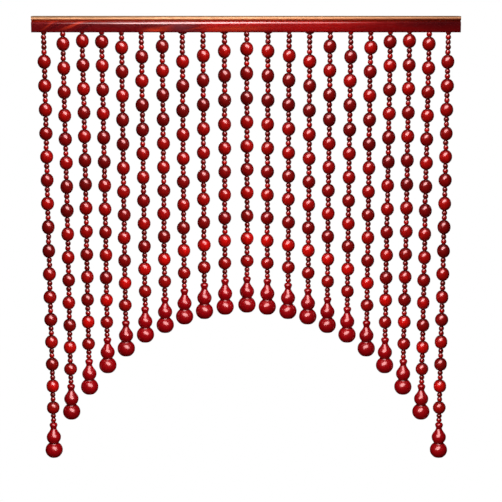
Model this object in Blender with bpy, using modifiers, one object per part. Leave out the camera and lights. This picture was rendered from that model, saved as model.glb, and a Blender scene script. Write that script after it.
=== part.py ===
# A bead curtain for a doorway, with the wooden rail that carries it.
#
# Metres, +Z up. The origin lies on the rail's top face, midway along the rail and
# straight above the strings. +X runs along the rail, to the right for someone who
# stands in front of the curtain, and +Y points away from them.

import math
from collections import namedtuple

import bmesh
import bpy

MM = 0.001

# Pieces that touch are kept this far apart.
JOINT_GAP = 0.0003

# Beads: a big one and two small ones repeat down each string
BIG_BEAD_DIAMETER = 0.025
BIG_BEAD_LENGTH = 0.0264
SMALL_BEAD_DIAMETER = 0.0104
SMALL_BEAD_LENGTH = 0.0093
SMALL_BEADS_BETWEEN = 2
BEAD_END_DIAMETER = 0.0044

# Length of each repeat, a big bead and the two small ones under it, in mm, from the lowest one up.
# Turned beads differ a little, and the lowest ones are drawn tight against the gourd.
REPEAT_LENGTHS = (
    *(42.3, 44.4, 44.1, 45.0, 44.3, 45.0, 45.7, 45.6),
    *(46.6, 45.2, 45.0, 44.8, 44.3, 45.2, 45.2, 44.9),
)

# A big bead has three bands, and the straight middle one stands in for its round belly.
BELLY_DIAMETER = 0.97 * BIG_BEAD_DIAMETER
BELLY_LENGTH = 0.36 * BIG_BEAD_LENGTH

# The plug that ends each string under the rail
PLUG_DIAMETER = 0.008

# Strands have four sides with a corner to the front, so that they show their full width.
STRAND_SIDES = 4
GOURD_SIDES = 6

# Gourd pendant, turned in one piece, from its top to its foot
# below_top    distance below the gourd's top, in mm
# diameter     width there, in mm
GourdBand = namedtuple("GourdBand", "below_top diameter")
KNOB = GourdBand(5.1, 15.6)
NECK = GourdBand(11.8, 11.2)
PEAR = GourdBand(30.0, 28.2)
WAIST = GourdBand(41.3, 18.6)
BULB_UPPER = GourdBand(51.4, 34.0)
BULB_LOWER = GourdBand(60.8, 34.0)
FOOT = GourdBand(70.4, 17.0)

# Rail: a front moulding, a gilt strip let into its top edge, and a batten behind it
RAIL_LENGTH = 0.799
RAIL_HEIGHT = 0.030
MOULDING_THICKNESS = 0.008
FACE_HEIGHT = 0.0152
SHOULDER_HEIGHT = 0.0048
SHOULDER_DEPTH = 0.0036
GROOVE_DEPTH = 0.0044
ARRIS = 0.0008
GILT_HEIGHT = 0.0072
GILT_BACKING = 0.0008
GILT_BULGE = 0.0030
GILT_CREST = 0.0054
BATTEN_THICKNESS = 0.005
BEAD_CLEARANCE = 0.0012
QUARTER_ARC_STEPS = 4

RAIL_BOTTOM = -RAIL_HEIGHT
BATTEN_BOTTOM = -BATTEN_THICKNESS
MOULDING_BACK = -(BIG_BEAD_DIAMETER / 2 + BEAD_CLEARANCE)
MOULDING_FRONT = MOULDING_BACK - MOULDING_THICKNESS
BATTEN_BACK = BULB_UPPER.diameter / 2 * MM + BEAD_CLEARANCE

# One row for each string from the left end to the middle one. The right half mirrors the left.
# across       distance to the left of the rail's middle, in mm
# drop         from the rail's lower edge to the centre of the first big bead, in mm
# big_beads    big beads from there down to the gourd, one to a repeat
# beads_above  what is threaded above the first big bead, from it upwards: s small, B big
StringRow = namedtuple("StringRow", "across drop big_beads beads_above")
STRINGS = (
    StringRow(379.9, 54.9, 16, "ssssss"),
    StringRow(343.5, 21.6, 15, "sss"),
    StringRow(307.1, 16.1, 14, "ss"),
    StringRow(270.6, 17.7, 13, "ss"),
    StringRow(234.1, 28.4, 12, "ssss"),
    StringRow(196.3, 45.6, 11, "sssss"),
    StringRow(157.6, 26.3, 11, "sss"),
    StringRow(119.7, 54.4, 10, "ssssB"),
    StringRow(81.0, 43.6, 10, "sssss"),
    StringRow(40.9, 35.1, 10, "ssB"),
    StringRow(-1.4, 30.9, 10, "ssss"),
)

# Colours are linear RGB.
LACQUERED_WOOD = (0.28, 0.012, 0.010)
GOURD_WOOD = (0.32, 0.010, 0.012)
ROSEWOOD = (0.17, 0.012, 0.010)
GILT = (0.80, 0.44, 0.20)
BATTEN_WOOD = (0.10, 0.014, 0.010)


def clear_scene():
    """Removes what a new scene starts with."""
    for obj in list(bpy.data.objects):
        bpy.data.objects.remove(obj)


def new_material(name, colour, roughness, metallic=0.0):
    material = bpy.data.materials.new(name)
    material.use_nodes = True
    shader = material.node_tree.nodes["Principled BSDF"]
    shader.inputs["Base Color"].default_value = (*colour, 1.0)
    shader.inputs["Roughness"].default_value = roughness
    shader.inputs["Metallic"].default_value = metallic
    return material


def turned(name, profile, sides, across, material, collection):
    """A turned piece that hangs at that place along the rail.

    The profile is a list of (radius, height) and runs from the piece's top to its bottom.
    """
    mesh = bpy.data.meshes.new(name)
    shape = bmesh.new()
    corners = [shape.verts.new((radius, 0.0, height)) for radius, height in profile]
    for upper, lower in zip(corners, corners[1:]):
        shape.edges.new((upper, lower))
    shape.to_mesh(mesh)
    shape.free()
    mesh.materials.append(material)
    obj = bpy.data.objects.new(name, mesh)
    obj.location = (across, 0.0, 0.0)
    collection.objects.link(obj)
    screw = obj.modifiers.new("Turn", "SCREW")
    screw.steps = sides
    screw.render_steps = sides
    screw.use_smooth_shade = True
    screw.use_merge_vertices = True
    screw.merge_threshold = 0.00001
    return obj


def rail_bar(name, outline, material, collection):
    """A bar as long as the rail, whose section is a closed outline of (y, z) points."""
    curve = bpy.data.curves.new(name, "CURVE")
    curve.dimensions = "2D"
    curve.fill_mode = "BOTH"
    curve.extrude = RAIL_LENGTH / 2
    spline = curve.splines.new("POLY")
    spline.points.add(len(outline) - 1)
    for point, (y, z) in zip(spline.points, outline):
        point.co = (y, z, 0.0, 1.0)
    spline.use_cyclic_u = True
    curve.materials.append(material)
    obj = bpy.data.objects.new(name, curve)
    # The curve's own X, Y and Z become the rail's Y, Z and X.
    obj.rotation_euler = (math.pi / 2, 0.0, math.pi / 2)
    collection.objects.link(obj)
    return obj


def arc(centre, radii, first_angle, last_angle, steps):
    """Points (y, z) along an arc of an ellipse, both ends included, with angles in degrees."""
    points = []
    for i in range(steps + 1):
        angle = math.radians(first_angle + (last_angle - first_angle) * i / steps)
        points.append((centre[0] + radii[0] * math.cos(angle), centre[1] + radii[1] * math.sin(angle)))
    return points


def moulding_outline():
    """A flat face with a rounded shoulder, and above it a groove that runs up behind the gilt strip."""
    face_top = RAIL_BOTTOM + FACE_HEIGHT
    groove = MOULDING_FRONT + GROOVE_DEPTH
    centre = (MOULDING_FRONT + SHOULDER_DEPTH, face_top)
    radii = (SHOULDER_DEPTH, SHOULDER_HEIGHT)
    shoulder = arc(centre, radii, 180, 90, QUARTER_ARC_STEPS)
    return [
        (MOULDING_BACK, RAIL_BOTTOM),
        (MOULDING_FRONT + ARRIS, RAIL_BOTTOM),
        (MOULDING_FRONT, RAIL_BOTTOM + ARRIS),
        *shoulder,
        (groove, face_top + SHOULDER_HEIGHT),
        (groove, 0.0),
        (MOULDING_BACK, 0.0),
    ]


def gilt_outline():
    """A rounded strip on a thin flat back. Its crest lies low, so that the upper part leans back."""
    back = MOULDING_FRONT + GROOVE_DEPTH - JOINT_GAP
    crest = (back - GILT_BACKING, -GILT_CREST)
    lower_side = arc(crest, (GILT_BULGE, GILT_HEIGHT - GILT_CREST), 270, 180, QUARTER_ARC_STEPS)
    upper_side = arc(crest, (GILT_BULGE, GILT_CREST), 180, 90, QUARTER_ARC_STEPS)
    return [(back, -GILT_HEIGHT), *lower_side, *upper_side[1:], (back, 0.0)]


def batten_outline():
    front = MOULDING_BACK + JOINT_GAP
    return [(front, 0.0), (front, BATTEN_BOTTOM), (BATTEN_BACK, BATTEN_BOTTOM), (BATTEN_BACK, 0.0)]


def bead_length(kind):
    return BIG_BEAD_LENGTH if kind == "B" else SMALL_BEAD_LENGTH


def bead_profile(kind, top, length):
    """One bead's bands below its top, down to the narrow ring that it shares with the next bead."""
    bottom = (BEAD_END_DIAMETER / 2, top - length)
    if kind == "s":
        return [(SMALL_BEAD_DIAMETER / 2, top - length / 2), bottom]
    cone = (length - BELLY_LENGTH) / 2
    return [(BELLY_DIAMETER / 2, top - cone), (BELLY_DIAMETER / 2, top - cone - BELLY_LENGTH), bottom]


def string_beads(row):
    """The kind and the length of each bead from the uppermost down."""
    beads = [(kind, bead_length(kind)) for kind in reversed(row.beads_above)]
    repeat = "B" + "s" * SMALL_BEADS_BETWEEN
    usual_length = sum(bead_length(kind) for kind in repeat)
    for repeat_length in reversed(REPEAT_LENGTHS[:row.big_beads]):
        share = repeat_length * MM / usual_length
        beads += [(kind, share * bead_length(kind)) for kind in repeat]
    return beads


def string_profile(row):
    """The whole string from its plug to its last small bead, and the height of its lower end."""
    beads = string_beads(row)
    lengths_to_first_big = [length for kind, length in beads[:len(row.beads_above) + 1]]
    height = RAIL_BOTTOM - row.drop * MM + sum(lengths_to_first_big) - lengths_to_first_big[-1] / 2
    plug_top = BATTEN_BOTTOM - JOINT_GAP
    profile = [(0.0, plug_top), (PLUG_DIAMETER / 2, plug_top), (BEAD_END_DIAMETER / 2, height)]
    for kind, length in beads:
        profile += bead_profile(kind, height, length)
        height -= length
    profile.append((0.0, height))
    return profile, height


def gourd_profile(top):
    """The knob, neck, pear, waist, bulb and foot, with a flat top as narrow as a bead's end."""
    bands = (KNOB, NECK, PEAR, WAIST, BULB_UPPER, BULB_LOWER, FOOT)
    turns = [(band.diameter / 2 * MM, top - band.below_top * MM) for band in bands]
    return [(0.0, top), (BEAD_END_DIAMETER / 2, top), *turns, (0.0, top - FOOT.below_top * MM)]


def build_rail(collection):
    rosewood = new_material("rosewood", ROSEWOOD, 0.20)
    gilt = new_material("gilt", GILT, 0.35, 0.6)
    batten_wood = new_material("batten_wood", BATTEN_WOOD, 0.45)
    rail_bar("rail_moulding", moulding_outline(), rosewood, collection)
    rail_bar("gilt_strip", gilt_outline(), gilt, collection)
    rail_bar("rail_batten", batten_outline(), batten_wood, collection)


def build_strings(collection):
    """Each string is one strand of beads fused to its plug, with a gourd hung under it."""
    bead_wood = new_material("bead_wood", LACQUERED_WOOD, 0.18)
    gourd_wood = new_material("gourd_wood", GOURD_WOOD, 0.20)
    mirrored = [row._replace(across=-row.across) for row in STRINGS[-2::-1]]
    for number, row in enumerate([*STRINGS, *mirrored], start=1):
        across = -row.across * MM
        profile, lower_end = string_profile(row)
        gourd = gourd_profile(lower_end - JOINT_GAP)
        turned(f"string_{number:02d}", profile, STRAND_SIDES, across, bead_wood, collection)
        turned(f"gourd_{number:02d}", gourd, GOURD_SIDES, across, gourd_wood, collection)


def main():
    clear_scene()
    curtain = bpy.data.collections.new("bead_curtain")
    bpy.context.scene.collection.children.link(curtain)
    build_rail(curtain)
    build_strings(curtain)


main()
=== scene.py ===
import math
from collections import namedtuple

import bpy
import numpy as np
from mathutils import Matrix, Vector


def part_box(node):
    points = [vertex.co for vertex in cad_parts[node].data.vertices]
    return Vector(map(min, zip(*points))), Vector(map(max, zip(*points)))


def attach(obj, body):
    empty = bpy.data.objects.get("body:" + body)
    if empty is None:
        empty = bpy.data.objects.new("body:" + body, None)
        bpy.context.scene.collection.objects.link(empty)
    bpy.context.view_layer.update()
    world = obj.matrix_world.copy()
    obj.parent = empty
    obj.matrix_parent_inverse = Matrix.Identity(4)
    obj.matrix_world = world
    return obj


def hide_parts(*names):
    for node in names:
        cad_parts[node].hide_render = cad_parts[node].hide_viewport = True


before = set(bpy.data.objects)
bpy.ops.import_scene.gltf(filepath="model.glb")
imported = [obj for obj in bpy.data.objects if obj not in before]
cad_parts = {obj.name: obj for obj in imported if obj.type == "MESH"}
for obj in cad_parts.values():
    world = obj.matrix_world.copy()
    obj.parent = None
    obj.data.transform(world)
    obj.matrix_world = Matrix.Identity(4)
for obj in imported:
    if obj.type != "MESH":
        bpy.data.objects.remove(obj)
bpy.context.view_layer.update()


# Batten of the rail
# A flat strip of plain stained wood behind the top of the rail. The door head takes its
# top face and the cords come out of its underside. It is planed, with eased edges.

BATTEN_ARRIS = 0.0005
BATTEN_BROWN = (0.070, 0.013, 0.009, 1.0)
BATTEN_DARK = (0.020, 0.005, 0.004, 1.0)
RAIL_STATIONS = 60


def add_node(tree, kind, inputs=None, **settings):
    """A new shader node. A value that is a socket is linked, and any other becomes the default."""
    node = tree.nodes.new("ShaderNode" + kind)
    for key, value in settings.items():
        setattr(node, key, value)
    for socket, value in (inputs or {}).items():
        if isinstance(value, bpy.types.NodeSocket):
            tree.links.new(value, node.inputs[socket])
        else:
            node.inputs[socket].default_value = value
    return node


def maths(tree, operation, *values):
    """The result of one Math node on values or sockets."""
    return add_node(tree, "Math", dict(enumerate(values)), operation=operation).outputs[0]


def blend_colours(tree, factor, first, second, mode="MIX"):
    """The second colour laid over the first one by the factor."""
    node = add_node(tree, "Mix", {0: factor, 6: first, 7: second}, data_type="RGBA", blend_type=mode)
    return node.outputs[2]


def fade(tree, value, low, high, to_low=0.0, to_high=1.0):
    """A smooth step: to_low where the value is at low, and to_high where it is at high."""
    node = add_node(
        tree,
        "MapRange",
        {"Value": value, "From Min": low, "From Max": high, "To Min": to_low, "To Max": to_high},
        interpolation_type="SMOOTHSTEP",
    )
    return node.outputs["Result"]


def shader_group(name, inputs, outputs):
    """A shader node group, with (name, socket type) for each socket, and its input and output nodes."""
    group = bpy.data.node_groups.new(name, "ShaderNodeTree")
    for direction, sockets in (("INPUT", inputs), ("OUTPUT", outputs)):
        for socket, kind in sockets:
            group.interface.new_socket(socket, in_out=direction, socket_type="NodeSocket" + kind)
    return group, group.nodes.new("NodeGroupInput").outputs, group.nodes.new("NodeGroupOutput").inputs


# Grain of turned or planed wood. The position is stretched, so that the figure is long the one way
# and fine the other, and a second, finer noise cuts the pores.
wood_grain, given, made = shader_group(
    "wood_grain",
    [("Position", "Vector"), ("Per Metre", "Vector"), ("Shift", "Float")],
    [("Streaks", "Float"), ("Lines", "Float"), ("Pores", "Float")],
)
grain_place = add_node(
    wood_grain, "VectorMath", {0: given["Position"], 1: given["Per Metre"]}, operation="MULTIPLY"
)
grain_noise = add_node(
    wood_grain,
    "TexNoise",
    {"Vector": grain_place.outputs[0], "W": given["Shift"], "Scale": 1.0, "Detail": 3.0, "Distortion": 0.7},
    noise_dimensions="4D",
)
ring_count = maths(wood_grain, "MULTIPLY", grain_noise.outputs["Fac"], 9.0)
ring_wave = maths(wood_grain, "PINGPONG", ring_count, 0.5)
pore_noise = add_node(
    wood_grain,
    "TexNoise",
    {"Vector": grain_place.outputs[0], "W": given["Shift"], "Scale": 6.0, "Detail": 2.0},
    noise_dimensions="4D",
)
for socket, value in (
    ("Streaks", fade(wood_grain, grain_noise.outputs["Fac"], 0.36, 0.64)),
    ("Lines", fade(wood_grain, ring_wave, 0.16, 0.02)),
    ("Pores", fade(wood_grain, pore_noise.outputs["Fac"], 0.60, 0.72)),
):
    wood_grain.links.new(value, made[socket])

# Lacquer or paint that didn't flow out quite flat. One soft noise dulls it in patches, and a finer
# one lifts the surface.
uneven_coat, given, made = shader_group(
    "uneven_coat",
    [
        ("Position", "Vector"),
        ("Patches per Metre", "Float"),
        ("Roughness Low", "Float"),
        ("Roughness High", "Float"),
    ],
    [("Roughness", "Float"), ("Height", "Float")],
)
patch_noise = add_node(
    uneven_coat, "TexNoise", {"Vector": given["Position"], "Scale": given["Patches per Metre"], "Detail": 2.0}
)
ripple_scale = maths(uneven_coat, "MULTIPLY", given["Patches per Metre"], 5.0)
ripple_noise = add_node(
    uneven_coat, "TexNoise", {"Vector": given["Position"], "Scale": ripple_scale, "Detail": 1.0}
)
uneven_coat.links.new(
    fade(
        uneven_coat, patch_noise.outputs["Fac"], 0.35, 0.65, given["Roughness Low"], given["Roughness High"]
    ),
    made["Roughness"],
)
uneven_coat.links.new(ripple_noise.outputs["Fac"], made["Height"])


def new_finish(
    name, metallic=0.0, coat=0.0, coat_roughness=0.03, specular=0.5, reflects=(1.0, 1.0, 1.0, 1.0)
):
    """A material with its tree, its Principled shader and the position on the piece.

    The last value is the colour of its own reflection, under any coat, as seen straight on.
    """
    material = bpy.data.materials.new(name)
    material.use_nodes = True
    tree = material.node_tree
    shader = tree.nodes["Principled BSDF"]
    shader.inputs["Metallic"].default_value = metallic
    shader.inputs["Coat Weight"].default_value = coat
    shader.inputs["Coat Roughness"].default_value = coat_roughness
    shader.inputs["Specular IOR Level"].default_value = specular
    shader.inputs["Specular Tint"].default_value = reflects
    position = add_node(tree, "TexCoord").outputs["Object"]
    return material, tree, shader, position


def place_group(tree, group, inputs):
    """A copy of a shared effect in a material, with its own values."""
    node = tree.nodes.new("ShaderNodeGroup")
    node.node_tree = group
    for socket, value in inputs.items():
        if isinstance(value, bpy.types.NodeSocket):
            tree.links.new(value, node.inputs[socket])
        else:
            node.inputs[socket].default_value = value
    return node.outputs


def lay_tint(tree, colour, tint, mask, share):
    """The colour with that share of the tint laid over it where the mask is 1."""
    return blend_colours(tree, maths(tree, "MULTIPLY", mask, share), colour, tint)


def lay_coat(tree, shader, position, patches, low, high):
    """The uneven coat over a finish, with patches per metre and lowest and highest roughness."""
    coat = place_group(
        tree,
        uneven_coat,
        {"Position": position, "Patches per Metre": patches, "Roughness Low": low, "Roughness High": high},
    )
    tree.links.new(coat["Roughness"], shader.inputs["Roughness"])
    return coat["Height"]


def add_bump(tree, shader, height, distance, strength=0.5):
    """Raises a height, from 0 to 1, by that distance in metres."""
    bump = add_node(tree, "Bump", {"Height": height, "Distance": distance, "Strength": strength})
    tree.links.new(bump.outputs["Normal"], shader.inputs["Normal"])


def piece_from(name, points, faces, material, smooth_angle=38):
    """A piece at the origin from arrays of points and faces, shaded smooth up to that angle."""
    mesh = bpy.data.meshes.new(name)
    mesh.from_pydata(points, [], faces)
    mesh.shade_smooth()
    mesh.set_sharp_from_angle(angle=math.radians(smooth_angle))
    mesh.materials.append(material)
    piece = bpy.data.objects.new(name, mesh)
    bpy.context.scene.collection.objects.link(piece)
    return piece


def arc(centre, radii, first, last, steps):
    """Points (y, z) round an ellipse, centre + radii * (cos, sin), from one angle to the other in degrees."""
    angle = np.radians(np.linspace(first, last, steps + 1))
    return np.column_stack([centre[0] + radii[0] * np.cos(angle), centre[1] + radii[1] * np.sin(angle)])


def inset(outline, distance):
    """The outline moved inwards: each point goes along the mean of its two edges' inward normals."""
    edge = np.roll(outline, -1, axis=0) - outline
    inward = np.column_stack([-edge[:, 1], edge[:, 0]]) / np.linalg.norm(edge, axis=1)[:, None]
    normal = np.roll(inward, 1, axis=0) + inward
    return outline + distance * normal / np.linalg.norm(normal, axis=1)[:, None]


def bar_along_rail(name, outline, ends, arris, material):
    """A bar between the two ends in X, with a counterclockwise section (y, z) seen from +X.

    The section is repeated at equal steps, and one that is set in by the arris closes each end.
    """
    across = np.linspace(ends[0] + arris, ends[1] - arris, RAIL_STATIONS)
    across = np.concatenate([[ends[0]], across, [ends[1]]])
    sections = np.repeat(outline[None], len(across), axis=0)
    sections[0] = sections[-1] = inset(outline, arris)
    points = np.dstack([np.repeat(across[:, None], len(outline), axis=1), sections]).reshape(-1, 3)
    corner = np.arange(len(outline))
    following = np.roll(corner, -1)
    start = len(outline) * np.arange(len(across) - 1)[:, None]
    near, beside = start + corner, start + following
    sides = np.stack([near, beside, beside + len(outline), near + len(outline)], axis=-1)
    last = len(outline) * (len(across) - 1)
    faces = [*sides.reshape(-1, 4).tolist(), corner.tolist()[::-1], (corner + last).tolist()]
    return piece_from(name, points, faces, material)


batten_finish, tree, shader, position = new_finish("batten_stain", specular=0.3)
grain = place_group(
    tree, wood_grain, {"Position": position, "Per Metre": (7.0, 190.0, 190.0), "Shift": 3.0}
)
stained = blend_colours(tree, grain["Streaks"], BATTEN_BROWN, BATTEN_DARK)
tree.links.new(lay_tint(tree, stained, BATTEN_DARK, grain["Lines"], 0.7), shader.inputs["Base Color"])
lay_coat(tree, shader, position, 60.0, 0.42, 0.58)
add_bump(tree, shader, grain["Pores"], -0.00015)

low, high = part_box("rail_batten")
front, back = low.y + BATTEN_ARRIS, high.y - BATTEN_ARRIS
bottom, top = low.z + BATTEN_ARRIS, high.z - BATTEN_ARRIS
eased = (BATTEN_ARRIS, BATTEN_ARRIS)
batten_outline = np.concatenate(
    [
        arc((back, top), eased, 0, 90, 3),
        arc((front, top), eased, 90, 180, 3),
        arc((front, bottom), eased, 180, 270, 3),
        arc((back, bottom), eased, 270, 360, 3),
    ]
)
batten = bar_along_rail("batten", batten_outline, (low.x, high.x), BATTEN_ARRIS, batten_finish)
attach(batten, "root")
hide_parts("rail_batten")


# Front moulding of the rail
# Rosewood, planed to a flat face with a rounded shoulder. Above the shoulder a groove runs
# up behind the gilt strip. It is lacquered to a gloss that shows the figure.

MM = 0.001
FACE_HEIGHT = 0.0152
SHOULDER_HEIGHT = 0.0048
SHOULDER_DEPTH = 0.0036
GROOVE_DEPTH = 0.0044
FACE_ARRIS = 0.0008
END_ARRIS = 0.0004
ROSEWOOD_RED = (0.290, 0.0024, 0.0018, 1.0)
ROSEWOOD_MAROON = (0.090, 0.0012, 0.0016, 1.0)
ROSEWOOD_DARK = (0.034, 0.0013, 0.0022, 1.0)
ROSEWOOD_PURPLE = (0.105, 0.0155, 0.0190, 1.0)
ROSEWOOD_FLAME = (0.420, 0.0260, 0.0070, 1.0)
# Painted reflection of the gilt, for the groove
GROOVE_GILT_REFLECTION = (0.300, 0.0130, 0.0020, 1.0)

# The figure of the wood, each a slanted streak across the face
# colour         what it turns the wood to
# across, up     middle of the streak, in mm
# slope          rise of the streak along the rail, in mm per mm
# length, width  half of each, in mm
# strength       how much it shows
Streak = namedtuple("Streak", "colour across up slope length width strength")
FIGURE = (
    Streak(ROSEWOOD_DARK, -357, -20, 0.55, 22, 6.0, 0.80),
    Streak(ROSEWOOD_DARK, -309, -23, 0.38, 44, 6.5, 0.85),
    Streak(ROSEWOOD_DARK, -225, -17, -0.02, 110, 4.5, 0.45),
    Streak(ROSEWOOD_PURPLE, -126, -20, -0.12, 48, 13.0, 1.00),
    Streak(ROSEWOOD_DARK, 60, -27, -0.01, 200, 2.6, 0.40),
    Streak(ROSEWOOD_DARK, 370, -11, 0.01, 150, 14.0, 1.00),
    Streak(ROSEWOOD_FLAME, -365, -15, 0.70, 20, 4.2, 0.60),
    Streak(ROSEWOOD_FLAME, -318, -15.2, 0.39, 36, 4.2, 1.00),
    Streak(ROSEWOOD_FLAME, -167, -25.5, 0.12, 40, 9.0, 1.00),
    Streak(ROSEWOOD_FLAME, -92, -22, 0.16, 30, 2.4, 0.45),
    Streak(ROSEWOOD_FLAME, -18, -22.8, 0.02, 80, 7.5, 0.85),
)

# One streak: a soft band round a slanted line, which fades out towards its two ends.
figure_streak, given, made = shader_group(
    "figure_streak",
    [
        ("Position", "Vector"),
        ("Waver", "Float"),
        ("Middle", "Vector"),
        ("Slope", "Float"),
        ("Half Length", "Float"),
        ("Half Width", "Float"),
        ("Strength", "Float"),
    ],
    [("Mask", "Float")],
)
from_middle = add_node(
    figure_streak, "VectorMath", {0: given["Position"], 1: given["Middle"]}, operation="SUBTRACT"
)
apart = add_node(figure_streak, "SeparateXYZ", {0: from_middle.outputs[0]}).outputs
rise = maths(figure_streak, "MULTIPLY", apart["X"], given["Slope"])
line = maths(figure_streak, "ADD", rise, given["Waver"])
off_line = maths(figure_streak, "ABSOLUTE", maths(figure_streak, "SUBTRACT", apart["Z"], line))
band = fade(figure_streak, off_line, given["Half Width"], 0.0)
run = fade(figure_streak, maths(figure_streak, "ABSOLUTE", apart["X"]), given["Half Length"], 0.0)
mask = maths(figure_streak, "MULTIPLY", maths(figure_streak, "MULTIPLY", band, run), given["Strength"])
figure_streak.links.new(mask, made["Mask"])

rosewood, tree, shader, position = new_finish(
    "rosewood_lacquer", coat=1.0, coat_roughness=0.14, specular=0.4, reflects=(1.0, 0.05, 0.05, 1.0)
)
grain = place_group(tree, wood_grain, {"Position": position, "Per Metre": (9.0, 160.0, 160.0), "Shift": 0.0})
broad = place_group(tree, wood_grain, {"Position": position, "Per Metre": (4.0, 40.0, 40.0), "Shift": 5.0})
waver = add_node(tree, "TexNoise", {"Vector": position, "Scale": 26.0, "Detail": 1.0}).outputs["Fac"]
waver = fade(tree, waver, 0.3, 0.7, -0.0012, 0.0012)
place = add_node(tree, "SeparateXYZ", {0: position}).outputs
along, up = place["X"], place["Z"]
# The board is painted reddest in its middle and darker, to maroon, towards both ends: partly figure, partly
# painted shade.
left_redness = fade(tree, along, -0.100, -0.055)
right_redness = fade(tree, along, 0.420, 0.060)
redness = maths(tree, "MULTIPLY", left_redness, right_redness)
colour = blend_colours(tree, redness, ROSEWOOD_MAROON, ROSEWOOD_RED)
for streak in FIGURE:
    mask = place_group(
        tree,
        figure_streak,
        {
            "Position": position,
            "Waver": waver,
            "Middle": (streak.across * MM, 0.0, streak.up * MM),
            "Slope": streak.slope,
            "Half Length": streak.length * MM,
            "Half Width": streak.width * MM,
            "Strength": streak.strength,
        },
    )["Mask"]
    colour = blend_colours(tree, mask, colour, streak.colour)
colour = lay_tint(tree, colour, ROSEWOOD_DARK, broad["Streaks"], 0.35)
colour = lay_tint(tree, colour, ROSEWOOD_DARK, grain["Streaks"], 0.30)
colour = lay_tint(tree, colour, ROSEWOOD_DARK, grain["Lines"], 0.25)
# A painted reflection of the gilt turns the groove orange, strongest over the left and middle and fading
# towards the right end.
low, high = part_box("rail_moulding")
shoulder_top = low.z + FACE_HEIGHT + SHOULDER_HEIGHT
in_groove = fade(tree, up, shoulder_top - 0.0006, shoulder_top + 0.0004)
groove_reflection = maths(tree, "MULTIPLY", in_groove, fade(tree, along, 0.380, 0.100, 0.25, 0.75))
colour = blend_colours(tree, groove_reflection, colour, GROOVE_GILT_REFLECTION)
# Painted shade darkens the face along its lower edge.
painted_edge_shade = fade(tree, up, low.z + 0.0032, low.z + 0.0010)
colour = lay_tint(tree, colour, ROSEWOOD_DARK, painted_edge_shade, 0.8)
tree.links.new(colour, shader.inputs["Base Color"])
coat_height = lay_coat(tree, shader, position, 45.0, 0.22, 0.32)
add_bump(tree, shader, coat_height, 0.00002)

face_top = low.z + FACE_HEIGHT
shoulder = arc((low.y + SHOULDER_DEPTH, face_top), (SHOULDER_DEPTH, SHOULDER_HEIGHT), 90, 180, 12)
lower_arris = arc((low.y + FACE_ARRIS, low.z + FACE_ARRIS), (FACE_ARRIS, FACE_ARRIS), 180, 270, 4)
groove_wall = low.y + GROOVE_DEPTH
moulding_outline = np.concatenate(
    [
        [(high.y, high.z), (groove_wall, high.z), (groove_wall, face_top + SHOULDER_HEIGHT)],
        shoulder,
        lower_arris,
        [(high.y, low.z)],
    ]
)
moulding = bar_along_rail("moulding", moulding_outline, (low.x, high.x), END_ARRIS, rosewood)
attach(moulding, "root")
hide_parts("rail_moulding")


# Gilt strip
# A rounded strip along the rail's top front edge, whose crest lies low. It is painted gold, with
# painted shade along its top and along its foot, orange at the left end and dark red at the right.

GILT_GOLD = (0.450, 0.215, 0.105, 1.0)
GILT_DEEP = (0.350, 0.155, 0.068, 1.0)
GILT_TOP_SHADE = (0.085, 0.046, 0.016, 1.0)
GILT_FOOT_SHADE_LEFT = (0.760, 0.230, 0.072, 1.0)
GILT_FOOT_SHADE_RIGHT = (0.190, 0.022, 0.003, 1.0)
GILT_CREST = 0.0054
GILT_BACKING = 0.0008
GILT_END_ARRIS = 0.0002
# Painted shade fades in between two depths below the strip's top, and between two heights above its foot.
TOP_SHADE_DEPTHS = (0.0037, 0.0016)
FOOT_SHADE_HEIGHTS = (0.0024, 0.0012)
# How much higher than that the painted shade lies, at the left end and at the right one.
SHADE_BANDS_HIGHER = (-0.0006, 0.0009)

gilding, tree, shader, position = new_finish("gilding", metallic=0.45, specular=0.3)
brushed = place_group(
    tree, wood_grain, {"Position": position, "Per Metre": (14.0, 420.0, 420.0), "Shift": 9.0}
)
place = add_node(tree, "SeparateXYZ", {0: position}).outputs
along, up = place["X"], place["Z"]
low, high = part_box("gilt_strip")
gold = lay_tint(tree, GILT_GOLD, GILT_DEEP, brushed["Streaks"], 0.45)
# Painted shade along the top and the foot; at the foot it goes from orange on the left to dark red on the
# right.
shade_band_height = maths(tree, "SUBTRACT", up, fade(tree, along, -0.350, 0.350, *SHADE_BANDS_HIGHER))
top_shade_mask = fade(tree, shade_band_height, *(high.z - depth for depth in TOP_SHADE_DEPTHS))
foot_shade_mask = fade(tree, shade_band_height, *(low.z + height for height in FOOT_SHADE_HEIGHTS))
foot_shade_colour = blend_colours(tree, fade(tree, along, -0.050, 0.380), GILT_FOOT_SHADE_LEFT, GILT_FOOT_SHADE_RIGHT)
gold = lay_tint(tree, gold, foot_shade_colour, foot_shade_mask, 0.9)
gold = lay_tint(tree, gold, GILT_TOP_SHADE, top_shade_mask, 0.9)
tree.links.new(gold, shader.inputs["Base Color"])
lay_coat(tree, shader, position, 80.0, 0.46, 0.56)
add_bump(tree, shader, brushed["Streaks"], 0.00005)

crest = (high.y - GILT_BACKING, high.z - GILT_CREST)
bulge = high.y - GILT_BACKING - low.y
gilt_outline = np.concatenate(
    [
        [(high.y, high.z)],
        arc(crest, (bulge, GILT_CREST), 90, 180, 12),
        arc(crest, (bulge, crest[1] - low.z), 180, 270, 8)[1:],
        [(high.y, low.z)],
    ]
)
gilt = bar_along_rail("gilt", gilt_outline, (low.x, high.x), GILT_END_ARRIS, gilding)
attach(gilt, "root")
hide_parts("gilt_strip")


# Strings of beads
# Big and small wooden beads, turned, drilled, dyed red and dipped in lacquer. They are
# threaded close together, one big and two small ones in turn, up to the batten.

rng = np.random.default_rng(2107)

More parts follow.
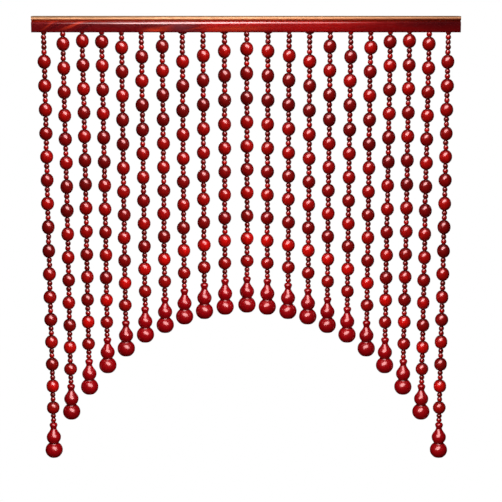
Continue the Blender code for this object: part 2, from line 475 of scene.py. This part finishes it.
REPEAT_LENGTH = 0.045
BIG_RADIUS = 0.01265
BIG_PITCH = 0.0264
BIG_HALF_HEIGHT = 0.01315
BIG_RIM_RADIUS = 0.0037
SMALL_RADIUS = 0.0053
SMALL_PITCH = 0.0093
SMALL_HALF_HEIGHT = 0.00462
SMALL_RIM_RADIUS = 0.0031
BEAD_DEEP = (0.084, 0.0017, 0.0017, 1.0)
BEAD_BRIGHT = (0.480, 0.0034, 0.0018, 1.0)
# Near-black of pooled lacquer and of painted shade where the beads meet; it also darkens the grain lines.
BEAD_POOL_AND_SHADE = (0.022, 0.0005, 0.0005, 1.0)
BEAD_BROWN = (0.065, 0.0055, 0.0026, 1.0)
DYED_REFLECTION = (1.0, 0.05, 0.05, 1.0)

# Length of each repeat, a big bead and the two small ones under it, in mm, from the lowest one up
REPEAT_LENGTHS = (
    42.3, 44.4, 44.1, 45.0, 44.3, 45.0, 45.7, 45.6,
    46.6, 45.2, 45.0, 44.8, 44.3, 45.2, 45.2, 44.9,
)

# Shade of each repeat's big bead, from the lowest one up: 0 is the darkest and 1 the brightest red.
# Every string is threaded in the same order. The darkest beads are also tinted the most with brown.
BEAD_SHADES = (
    0.45, 1.00, 0.23, 0.61, 0.28, 0.54, 0.50, 0.10,
    0.18, 0.61, 0.26, 0.63, 0.31, 0.51, 0.46, 0.42,
)
SHADE_SPREAD = 0.02
MOST_BROWN = 0.10

# Lowest and highest shade and brown tint of the small beads. The lower one of a pair is the redder.
LOWER_SHADES = (0.12, 0.78)
UPPER_SHADES = (0.02, 0.30)
LOWER_BROWNS = (0.0, 0.15)
UPPER_BROWNS = (0.1, 0.7)

# Share of the near-black at the rim of a hole, and how fast it fades from there. It is partly pooled lacquer,
# partly painted shade at the top and bottom of each bead, where the beads meet.
POOL_AND_SHADE_AT_RIM = 0.95
POOL_AND_SHADE_POWER = 2.5

# How far a string sways off its line, over what length, and how far each bead lies off that.
# The beads also differ a little in size, and each leans on its cord.
SWAY = 0.0003
SWAY_LENGTH = 0.11
OFF_LINE = 0.0002
SIZE_SPREAD = 0.008
LEAN_SPREAD = 0.018

# One row for each string from the left end to the middle one. The right half mirrors the left.
# big_beads    big beads from the first whole one below the rail to the gourd
# beads_above  what is threaded above that one, from it upwards: s small, B big
StringRow = namedtuple("StringRow", "big_beads beads_above")
LEFT_STRINGS = (
    StringRow(16, "ssssss"),
    StringRow(15, "sss"),
    StringRow(14, "ss"),
    StringRow(13, "ss"),
    StringRow(12, "ssss"),
    StringRow(11, "sssss"),
    StringRow(11, "sss"),
    StringRow(10, "ssssB"),
    StringRow(10, "sssss"),
    StringRow(10, "ssB"),
    StringRow(10, "ssss"),
)
STRINGS = [*LEFT_STRINGS, *LEFT_STRINGS[-2::-1]]


def drilled_beads(centres, radii, half_heights, rim_radius, sides, rings):
    """Points and faces of many drilled beads.

    A bead is an ellipsoid, radius * cos(a) by a height that goes with sin(a), cut off at its worn rim, with
    rings at equal steps of the angle a. The last ring joins the first one along the hole's wall. Its polygon
    is a little larger than the circle, so that its mean width is the bead's. Each bead is turned by a random
    angle and leans a little on its cord.
    """
    count = len(centres)
    edge = np.arccos(rim_radius / radii)[:, None]
    angle = edge * np.linspace(1, -1, rings)
    turn = rng.uniform(0, 2 * math.pi, (count, 1)) + np.arange(sides) * 2 * math.pi / sides
    radius = radii[:, None] * np.cos(angle) / np.sinc(1 / sides)
    height = half_heights[:, None] * np.sin(angle) / np.sin(edge)
    x = radius[:, :, None] * np.cos(turn)[:, None, :]
    y = radius[:, :, None] * np.sin(turn)[:, None, :]
    z = np.repeat(height[:, :, None], sides, axis=2)
    lean = rng.normal(0.0, LEAN_SPREAD, (2, count, 1, 1))
    leaning = np.stack([x + lean[0] * z, y + lean[1] * z, z - lean[0] * x - lean[1] * y], axis=-1)
    points = leaning + centres[:, None, None, :]
    ring, side = np.meshgrid(np.arange(rings), np.arange(sides), indexing="ij")
    below, beside = (ring + 1) % rings, (side + 1) % sides
    corners = [ring * sides + side, below * sides + side, below * sides + beside, ring * sides + beside]
    faces = np.stack(corners, -1).reshape(1, -1, 4) + (np.arange(count) * rings * sides)[:, None, None]
    return points.reshape(-1, 3), faces.reshape(-1, 4)


def point_values(mesh, name, values):
    """Keeps one number for each point of the mesh, for its material to read."""
    attribute = mesh.attributes.new(name, "FLOAT", "POINT")
    attribute.data.foreach_set("value", np.asarray(values, dtype=np.float32))


bead_lacquer, tree, shader, position = new_finish(
    "bead_lacquer", coat=1.0, coat_roughness=0.20, specular=0.65, reflects=DYED_REFLECTION
)
tone = add_node(tree, "Attribute", attribute_name="tone").outputs["Fac"]
pooled = add_node(tree, "Attribute", attribute_name="pooled").outputs["Fac"]
brownness = add_node(tree, "Attribute", attribute_name="brownness").outputs["Fac"]
grain = place_group(
    tree,
    wood_grain,
    {"Position": position, "Per Metre": (330.0, 330.0, 85.0), "Shift": maths(tree, "MULTIPLY", tone, 20.0)},
)
colour = blend_colours(tree, tone, BEAD_DEEP, BEAD_BRIGHT)
colour = blend_colours(tree, brownness, colour, BEAD_BROWN)
colour = lay_tint(tree, colour, BEAD_DEEP, grain["Streaks"], 0.38)
colour = lay_tint(tree, colour, BEAD_POOL_AND_SHADE, grain["Lines"], 0.30)
colour = blend_colours(tree, pooled, colour, BEAD_POOL_AND_SHADE)
tree.links.new(colour, shader.inputs["Base Color"])
coat_height = lay_coat(tree, shader, position, 180.0, 0.28, 0.40)
add_bump(tree, shader, coat_height, 0.00006)

BEAD_SHAPES = {
    "B": dict(
        radius=BIG_RADIUS,
        pitch=BIG_PITCH,
        half_height=BIG_HALF_HEIGHT,
        rim_radius=BIG_RIM_RADIUS,
        sides=12,
        rings=8,
    ),
    "s": dict(
        radius=SMALL_RADIUS,
        pitch=SMALL_PITCH,
        half_height=SMALL_HALF_HEIGHT,
        rim_radius=SMALL_RIM_RADIUS,
        sides=8,
        rings=5,
    ),
}
cord_ends = []
for number, row in enumerate(STRINGS, start=1):
    low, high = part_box(f"string_{number:02d}")
    across = (low.x + high.x) / 2
    kinds = ("ssB" * row.big_beads) + row.beads_above
    shares = [length * MM / REPEAT_LENGTH for length in REPEAT_LENGTHS[: row.big_beads] for _ in "ssB"]
    shares += [1.0] * len(row.beads_above)
    spare = high.z - low.z - sum(BEAD_SHAPES[kind]["pitch"] * share for kind, share in zip(kinds, shares))
    kinds += "s" * int(spare / SMALL_PITCH)
    shares = np.array(shares + [1.0] * (len(kinds) - len(shares)))
    pitches = shares * [BEAD_SHAPES[kind]["pitch"] for kind in kinds]
    middles = low.z + np.cumsum(pitches) - pitches / 2
    sway = SWAY * np.sin(middles / SWAY_LENGTH + rng.uniform(0, 2 * math.pi))
    all_points, all_faces, tones, pool_and_shade_values, browns = [], [], [], [], []
    offset = 0
    for kind, shape in BEAD_SHAPES.items():
        chosen = np.array([k == kind for k in kinds])
        count = int(chosen.sum())
        centres = np.column_stack([np.full(count, across), np.zeros(count), middles[chosen]])
        centres[:, 0] += sway[chosen] + rng.normal(0, OFF_LINE, count)
        centres[:, 1] += rng.normal(0, OFF_LINE, count)
        relative_size = 1 + rng.normal(0, SIZE_SPREAD, count).clip(-2 * SIZE_SPREAD, 2 * SIZE_SPREAD)
        radii = shape["radius"] * relative_size
        half_heights = shape["half_height"] * shares[chosen]
        points, faces = drilled_beads(
            centres, radii, half_heights, shape["rim_radius"], shape["sides"], shape["rings"]
        )
        all_points.append(points)
        all_faces.append(faces + offset)
        offset += len(points)
        each = shape["rings"] * shape["sides"]
        if kind == "B":
            tone_of = (np.resize(BEAD_SHADES, count) + rng.normal(0.0, SHADE_SPREAD, count)).clip(0.0, 1.0)
            brown_of = MOST_BROWN * (1 - tone_of)
        else:
            is_lower = (np.arange(len(kinds)) % 3 == 0)[chosen]
            if_lower, if_upper = rng.uniform(*LOWER_SHADES, count), rng.uniform(*UPPER_SHADES, count)
            tone_of = np.where(is_lower, if_lower, if_upper)
            if_lower, if_upper = rng.uniform(*LOWER_BROWNS, count), rng.uniform(*UPPER_BROWNS, count)
            brown_of = np.where(is_lower, if_lower, if_upper)
        tones.append(np.repeat(tone_of, each))
        browns.append(np.repeat(brown_of, each))
        # Darkest round the two ends of the hole, fading to the middle: partly pooled lacquer, partly painted
        # shade where the beads meet.
        pool_and_shade = POOL_AND_SHADE_AT_RIM * np.abs(np.linspace(1, -1, shape["rings"])) ** POOL_AND_SHADE_POWER
        pool_and_shade_values.append(np.tile(np.repeat(pool_and_shade, shape["sides"]), count))
    beads = piece_from(
        f"beads_{number:02d}",
        np.concatenate(all_points),
        np.concatenate(all_faces),
        bead_lacquer,
        smooth_angle=70,
    )
    point_values(beads.data, "tone", np.concatenate(tones))
    point_values(beads.data, "pooled", np.concatenate(pool_and_shade_values))
    point_values(beads.data, "brownness", np.concatenate(browns))
    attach(beads, "root")
    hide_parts(f"string_{number:02d}")
    cord_ends.append((across, low.z, high.z))


# Cords
# A thin waxed cord runs through the beads of each string, from a knot under the batten
# into the top of the gourd. It shows only above the uppermost bead.

CORD_RADIUS = 0.0006
KNOT_RADIUS = 0.0017
KNOT_RINGS = 9
KNOT_BELOW_BATTEN = 0.0002
CORD_SIDES = 8
CORD_RED = (0.10, 0.006, 0.006, 1.0)
CORD_DARK = (0.035, 0.003, 0.003, 1.0)
CORD_INTO_GOURD = 0.002


def turned_points(radii, heights, across, sides):
    """Rings of a turned piece: each height of the profile goes round its axis at its radius."""
    turn = np.arange(sides) * 2 * math.pi / sides
    x = across + radii[:, None] * np.cos(turn)
    y = radii[:, None] * np.sin(turn)
    z = np.repeat(heights[:, None], sides, axis=1)
    return np.stack([x, y, z], axis=-1).reshape(-1, 3)


def turned_faces(rings, sides):
    """Quads between the rings, from the top down, and a fan from a pole at each end.

    The poles are the two points after the rings: the upper one, then the lower one.
    """
    ring, side = np.meshgrid(np.arange(rings - 1), np.arange(sides), indexing="ij")
    beside = (side + 1) % sides
    below = ring + 1
    corners = [ring * sides + side, below * sides + side, below * sides + beside, ring * sides + beside]
    rim, next_rim = np.arange(sides), (np.arange(sides) + 1) % sides
    last = (rings - 1) * sides
    upper = np.column_stack([rim, next_rim, np.full(sides, rings * sides)])
    lower = np.column_stack([last + next_rim, last + rim, np.full(sides, rings * sides + 1)])
    return [*np.stack(corners, -1).reshape(-1, 4).tolist(), *upper.tolist(), *lower.tolist()]


cord_finish, tree, shader, position = new_finish("waxed_cord", specular=0.4)
twist = add_node(
    tree, "TexWave", {"Vector": position, "Scale": 340.0, "Distortion": 1.5}, bands_direction="DIAGONAL"
).outputs["Fac"]
tree.links.new(blend_colours(tree, twist, CORD_DARK, CORD_RED), shader.inputs["Base Color"])
lay_coat(tree, shader, position, 400.0, 0.45, 0.65)
add_bump(tree, shader, twist, 0.0002)

swell = np.sin(np.linspace(0, math.pi, KNOT_RINGS))
knot = CORD_RADIUS + (KNOT_RADIUS - CORD_RADIUS) * swell
radii = np.concatenate([knot, [CORD_RADIUS]])
cord_points, cord_faces = [], []
for across, lower_end, upper_end in cord_ends:
    knot_heights = np.linspace(upper_end - KNOT_BELOW_BATTEN, upper_end - 2 * KNOT_RADIUS, KNOT_RINGS)
    heights = np.concatenate([knot_heights, [lower_end - CORD_INTO_GOURD]])
    rings = turned_points(radii, heights, across, CORD_SIDES)
    poles = [(across, 0.0, heights[0]), (across, 0.0, heights[-1])]
    start = sum(len(p) for p in cord_points)
    cord_faces += [[corner + start for corner in face] for face in turned_faces(len(radii), CORD_SIDES)]
    cord_points.append(np.concatenate([rings, poles]))
cords = piece_from("cords", np.concatenate(cord_points), cord_faces, cord_finish)
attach(cords, "root")


# Gourd pendants
# Each is a double gourd with a knob, turned in one piece from red-dyed wood and lacquered.
# It hangs by the knob, below the last small bead of its string.

GOURD_SIDES = 32
STEPS_A_SPAN = 3
GOURD_BRIGHT = (0.230, 0.0009, 0.0024, 1.0)
GOURD_DEEP = (0.120, 0.0007, 0.0017, 1.0)
GOURD_SHADE = (0.018, 0.0004, 0.0007, 1.0)

# Profile of the gourd, from its top to its foot
# below_top    distance below the gourd's top, in mm
# radius       half its width there, in mm
Turn = namedtuple("Turn", "below_top radius")
GOURD_TURNS = (
    Turn(0.0, 2.2),
    Turn(0.6, 4.6),
    Turn(2.4, 6.9),
    Turn(5.1, 7.8),
    Turn(8.2, 6.9),
    Turn(11.8, 5.7),
    Turn(14.0, 6.3),
    Turn(16.0, 7.2),
    Turn(18.0, 8.4),
    Turn(20.0, 9.7),
    Turn(22.0, 11.2),
    Turn(24.5, 12.7),
    Turn(27.2, 13.7),
    Turn(30.0, 14.0),
    Turn(32.8, 13.7),
    Turn(35.4, 12.9),
    Turn(37.8, 11.6),
    Turn(39.8, 10.1),
    Turn(40.9, 9.4),
    Turn(41.5, 9.3),
    Turn(42.2, 9.6),
    Turn(43.5, 10.8),
    Turn(46.0, 13.3),
    Turn(49.0, 15.3),
    Turn(52.5, 16.6),
    Turn(56.1, 17.0),
    Turn(59.7, 16.6),
    Turn(63.2, 15.3),
    Turn(66.2, 13.3),
    Turn(68.7, 10.8),
    Turn(70.0, 8.9),
    Turn(70.4, 7.6),
    Turn(70.4, 2.0),
)


def smooth_profile(turns, steps):
    """A Catmull-Rom curve through the profile's points.

    Between two points it is the cubic whose slope at each is half the step between that one's neighbours.
    """
    knots = np.array([(turn.radius, turn.below_top) for turn in turns]) * MM
    padded = np.concatenate([2 * knots[:1] - knots[1:2], knots, 2 * knots[-1:] - knots[-2:-1]])
    before, start, end, after = (padded[i : len(padded) - 3 + i, None, :] for i in range(4))
    t = np.linspace(0, 1, steps, endpoint=False)[None, :, None]
    slope_in, slope_out = (end - before) / 2, (after - start) / 2
    curve = (
        (2 * t**3 - 3 * t**2 + 1) * start
        + (t**3 - 2 * t**2 + t) * slope_in
        + (3 * t**2 - 2 * t**3) * end
        + (t**3 - t**2) * slope_out
    )
    return np.concatenate([curve.reshape(-1, 2), knots[-1:]])


gourd_lacquer, tree, shader, position = new_finish(
    "gourd_lacquer", coat=1.0, coat_roughness=0.21, specular=0.65, reflects=DYED_REFLECTION
)
tone = add_node(tree, "Attribute", attribute_name="tone").outputs["Fac"]
pooled = add_node(tree, "Attribute", attribute_name="pooled").outputs["Fac"]
grain = place_group(
    tree,
    wood_grain,
    {"Position": position, "Per Metre": (230.0, 230.0, 60.0), "Shift": maths(tree, "MULTIPLY", tone, 20.0)},
)
colour = blend_colours(tree, tone, GOURD_DEEP, GOURD_BRIGHT)
colour = lay_tint(tree, colour, GOURD_DEEP, grain["Streaks"], 0.32)
colour = lay_tint(tree, colour, GOURD_SHADE, grain["Lines"], 0.22)
# Painted shade in the neck and the waist
colour = blend_colours(tree, pooled, colour, GOURD_SHADE)
tree.links.new(colour, shader.inputs["Base Color"])
coat_height = lay_coat(tree, shader, position, 110.0, 0.28, 0.38)
add_bump(tree, shader, coat_height, 0.00008)

profile = smooth_profile(GOURD_TURNS, STEPS_A_SPAN)
radii, below_top = profile[:, 0], profile[:, 1]
# Painted shade darkens the neck and the waist: distance below the top, reach and share of each.
shaded_hollows = ((11.8 * MM, 1.6 * MM, 0.35), (41.5 * MM, 1.4 * MM, 0.85))
pool_and_shade = sum(share * np.exp(-(((below_top - place) / reach) ** 2)) for place, reach, share in shaded_hollows)
for number in range(1, len(STRINGS) + 1):
    low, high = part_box(f"gourd_{number:02d}")
    across = (low.x + high.x) / 2
    rings = turned_points(radii * rng.uniform(0.992, 1.004), high.z - below_top, across, GOURD_SIDES)
    poles = [(across, 0.0, high.z), (across, 0.0, high.z - below_top[-1])]
    gourd = piece_from(
        f"pendant_{number:02d}",
        np.concatenate([rings, poles]),
        turned_faces(len(radii), GOURD_SIDES),
        gourd_lacquer,
        smooth_angle=50,
    )
    point_values(gourd.data, "tone", np.full(len(gourd.data.vertices), rng.uniform(0.45, 0.95)))
    point_values(gourd.data, "pooled", np.concatenate([np.repeat(pool_and_shade, GOURD_SIDES), [0.0, 0.0]]))
    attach(gourd, "root")
    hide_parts(f"gourd_{number:02d}")


# Studio
# The curtain hangs by its rail at the height of a door head, over a plain white floor. As the
# two halves in the picture mirror each other, each has lights of its own, and so has the rail.
# The batten, but not the moulding, shades the beads and gourds from their key and body lights.

FLOOR_DROP = 2.05
FLOOR_HALF = 30.0
WHITE = (1.0, 1.0, 1.0, 1.0)
DIM_WHITE = (0.95, 0.97, 1.0, 1.0)
DIM_RED = (1.0, 0.035, 0.035, 1.0)
LIT_BY_SURROUNDINGS = 0.02
REFLECTED_SURROUNDINGS = 0.07

floor_paint = bpy.data.materials.new("white_floor")
floor_paint.use_nodes = True
tree = floor_paint.node_tree
tree.nodes.clear()
glow = add_node(tree, "Emission", {"Color": WHITE, "Strength": 1.0})
tree.links.new(glow.outputs[0], add_node(tree, "OutputMaterial").inputs["Surface"])
corner = FLOOR_HALF * np.array([(-1, -1), (1, -1), (1, 1), (-1, 1)])
floor = piece_from("floor", np.column_stack([corner, np.full(4, -FLOOR_DROP)]), [(0, 1, 2, 3)], floor_paint)
floor.visible_diffuse = floor.visible_glossy = floor.visible_shadow = False

# The camera sees white all round. The pieces are in dim surroundings, which reflect as a dark red.
world = bpy.data.worlds.new("studio")
bpy.context.scene.world = world
world.use_nodes = True
tree = world.node_tree
tree.nodes.clear()
rays = add_node(tree, "LightPath").outputs
surroundings = add_node(tree, "Background", {"Color": DIM_WHITE, "Strength": LIT_BY_SURROUNDINGS}).outputs[0]
reflected = add_node(tree, "Background", {"Color": DIM_RED, "Strength": REFLECTED_SURROUNDINGS}).outputs[0]
white = add_node(tree, "Background", {"Color": WHITE, "Strength": 1.0}).outputs[0]
unseen = add_node(tree, "MixShader", {0: rays["Is Glossy Ray"], 1: surroundings, 2: reflected}).outputs[0]
mixed = add_node(tree, "MixShader", {0: rays["Is Camera Ray"], 1: unseen, 2: white}).outputs[0]
tree.links.new(mixed, add_node(tree, "OutputWorld").inputs["Surface"])
world.cycles.sampling_method = "NONE"


def collect(name, names):
    """A collection of pieces, for a light to fall on or to be shaded by. It leaves all others out."""
    group = bpy.data.collections.new(name)
    for piece in names:
        group.objects.link(bpy.data.objects[piece])
    return group


def soft_light(name, place, target, axis, size, watts, lit, shading, glossy=True, diffuse=True):
    """An oval light at a place, turned to its target, with the first of its widths along an axis."""
    data = bpy.data.lights.new(name, "AREA")
    data.shape = "ELLIPSE"
    data.size, data.size_y = size
    data.energy = watts
    light = bpy.data.objects.new(name, data)
    light.location = place
    first_side = Vector(axis).normalized()
    back = Vector(place) - Vector(target)
    back = (back - back.dot(first_side) * first_side).normalized()
    light.rotation_euler = Matrix((first_side, back.cross(first_side), back)).transposed().to_euler()
    light.visible_glossy = glossy
    light.visible_diffuse = diffuse
    light.visible_camera = False
    light.light_linking.receiver_collection = lit
    light.light_linking.blocker_collection = shading
    bpy.context.scene.collection.objects.link(light)


SLANT = (1.024, -0.584, -0.247)
LEVEL = (1.0, 0.0, 0.0)
BEAD_AIM = (-0.2, 0.0, -0.3)
GOURD_AIM = (-0.2, 0.0, -0.65)

# Lights of the left half, in metres and watts. The right half has the same ones in mirror image.
# use              a key and a body light for the beads, a lower key for the gourds, a fill and a back light
# lit              what it falls on
# place, target    where it stands, and the point that it is turned to
# slanted          whether its axis follows the slant of the highlights, or is level
# size             its widths along and across that axis
# glossy, diffuse  whether it gives highlights, and whether it gives shading
HalfLight = namedtuple("HalfLight", "use lit place target slanted size watts glossy diffuse")
HALF_LIGHTS = (
    HalfLight("key", "beads", (1.55, -3.60, 3.04), BEAD_AIM, True, (7.8, 3.7), 810.0, True, False),
    HalfLight("body", "beads", (1.35, -4.00, 2.25), BEAD_AIM, True, (2.0, 2.0), 525.0, False, True),
    HalfLight("low_key", "gourds", (1.75, -4.01, 2.03), GOURD_AIM, True, (7.8, 3.7), 690.0, True, True),
    HalfLight("fill", "both", (1.25, -2.10, -0.05), GOURD_AIM, False, (1.8, 1.8), 5.0, False, True),
    HalfLight("back", "both", (-0.90, 3.20, 0.90), GOURD_AIM, False, (2.4, 1.8), 260.0, False, True),
)

middle_string = len(LEFT_STRINGS)
for half, side, numbers in (
    ("left", 1, range(1, middle_string + 1)),
    ("right", -1, range(middle_string + 1, len(STRINGS) + 1)),
):
    beads = [f"beads_{number:02d}" for number in numbers]
    pendants = [f"pendant_{number:02d}" for number in numbers]
    both = collect(f"{half}_half", [*beads, *pendants])
    with_batten = collect(f"{half}_shading", [*beads, *pendants, "batten"])
    # What each light falls on, and what shades that from it
    groups = {
        "beads": (collect(f"{half}_beads", beads), with_batten),
        "gourds": (collect(f"{half}_gourds", pendants), with_batten),
        "both": (both, both),
    }
    for light in HALF_LIGHTS:
        soft_light(
            f"{half}_{light.use}",
            (light.place[0] * side, *light.place[1:]),
            (light.target[0] * side, *light.target[1:]),
            (SLANT[0] * side, *SLANT[1:]) if light.slanted else LEVEL,
            light.size,
            light.watts,
            *groups[light.lit],
            light.glossy,
            light.diffuse,
        )

# Lights of the rail. The first two lie one within the other, so that the highlight fades to its ends.
# name             the two keys, the fill and the back light
# place, target    where it stands, and the point that it is turned to
# axis, size       direction of its axis, and its widths along and across that
# glossy           whether it gives highlights
RailLight = namedtuple("RailLight", "name place target axis size watts glossy")
RAIL_SLANT = (1.0, 0.0, -0.30)
RAIL_LIGHTS = (
    RailLight("rail_key", (-0.10, -0.70, 0.70), (-0.10, 0.0, 0.0), RAIL_SLANT, (0.72, 1.6), 14.0, True),
    RailLight("rail_key_inner", (-0.13, -0.70, 0.70), (-0.13, 0.0, 0.0), RAIL_SLANT, (0.34, 1.6), 17.0, True),
    RailLight("rail_fill", (-0.05, -2.20, 0.10), (0.0, 0.0, 0.0), LEVEL, (1.4, 1.0), 15.0, False),
    RailLight("rail_back", (0.00, 2.60, 0.90), (0.0, 0.0, 0.0), LEVEL, (2.0, 1.2), 80.0, False),
)
rail_pieces = collect("rail_pieces", ["batten", "moulding", "gilt", "cords"])
for name, place, target, axis, size, watts, glossy in RAIL_LIGHTS:
    soft_light(name, place, target, axis, size, watts, rail_pieces, rail_pieces, glossy)

# The camera stands almost level with the rail and looks down a little, by that angle in degrees.
CAMERA_PLACE = (0.0093, -2.6451, 0.0265)
CAMERA_LOOKS_DOWN = 10.142
camera_data = bpy.data.cameras.new("camera")
camera_data.lens = 100.0
camera_data.sensor_width = 36.0
camera = bpy.data.objects.new("camera", camera_data)
camera.location = CAMERA_PLACE
camera.rotation_euler = (math.radians(90.0 - CAMERA_LOOKS_DOWN), 0.0, 0.0)
bpy.context.scene.collection.objects.link(camera)
bpy.context.scene.camera = camera
bpy.context.scene.view_settings.view_transform = "Standard"
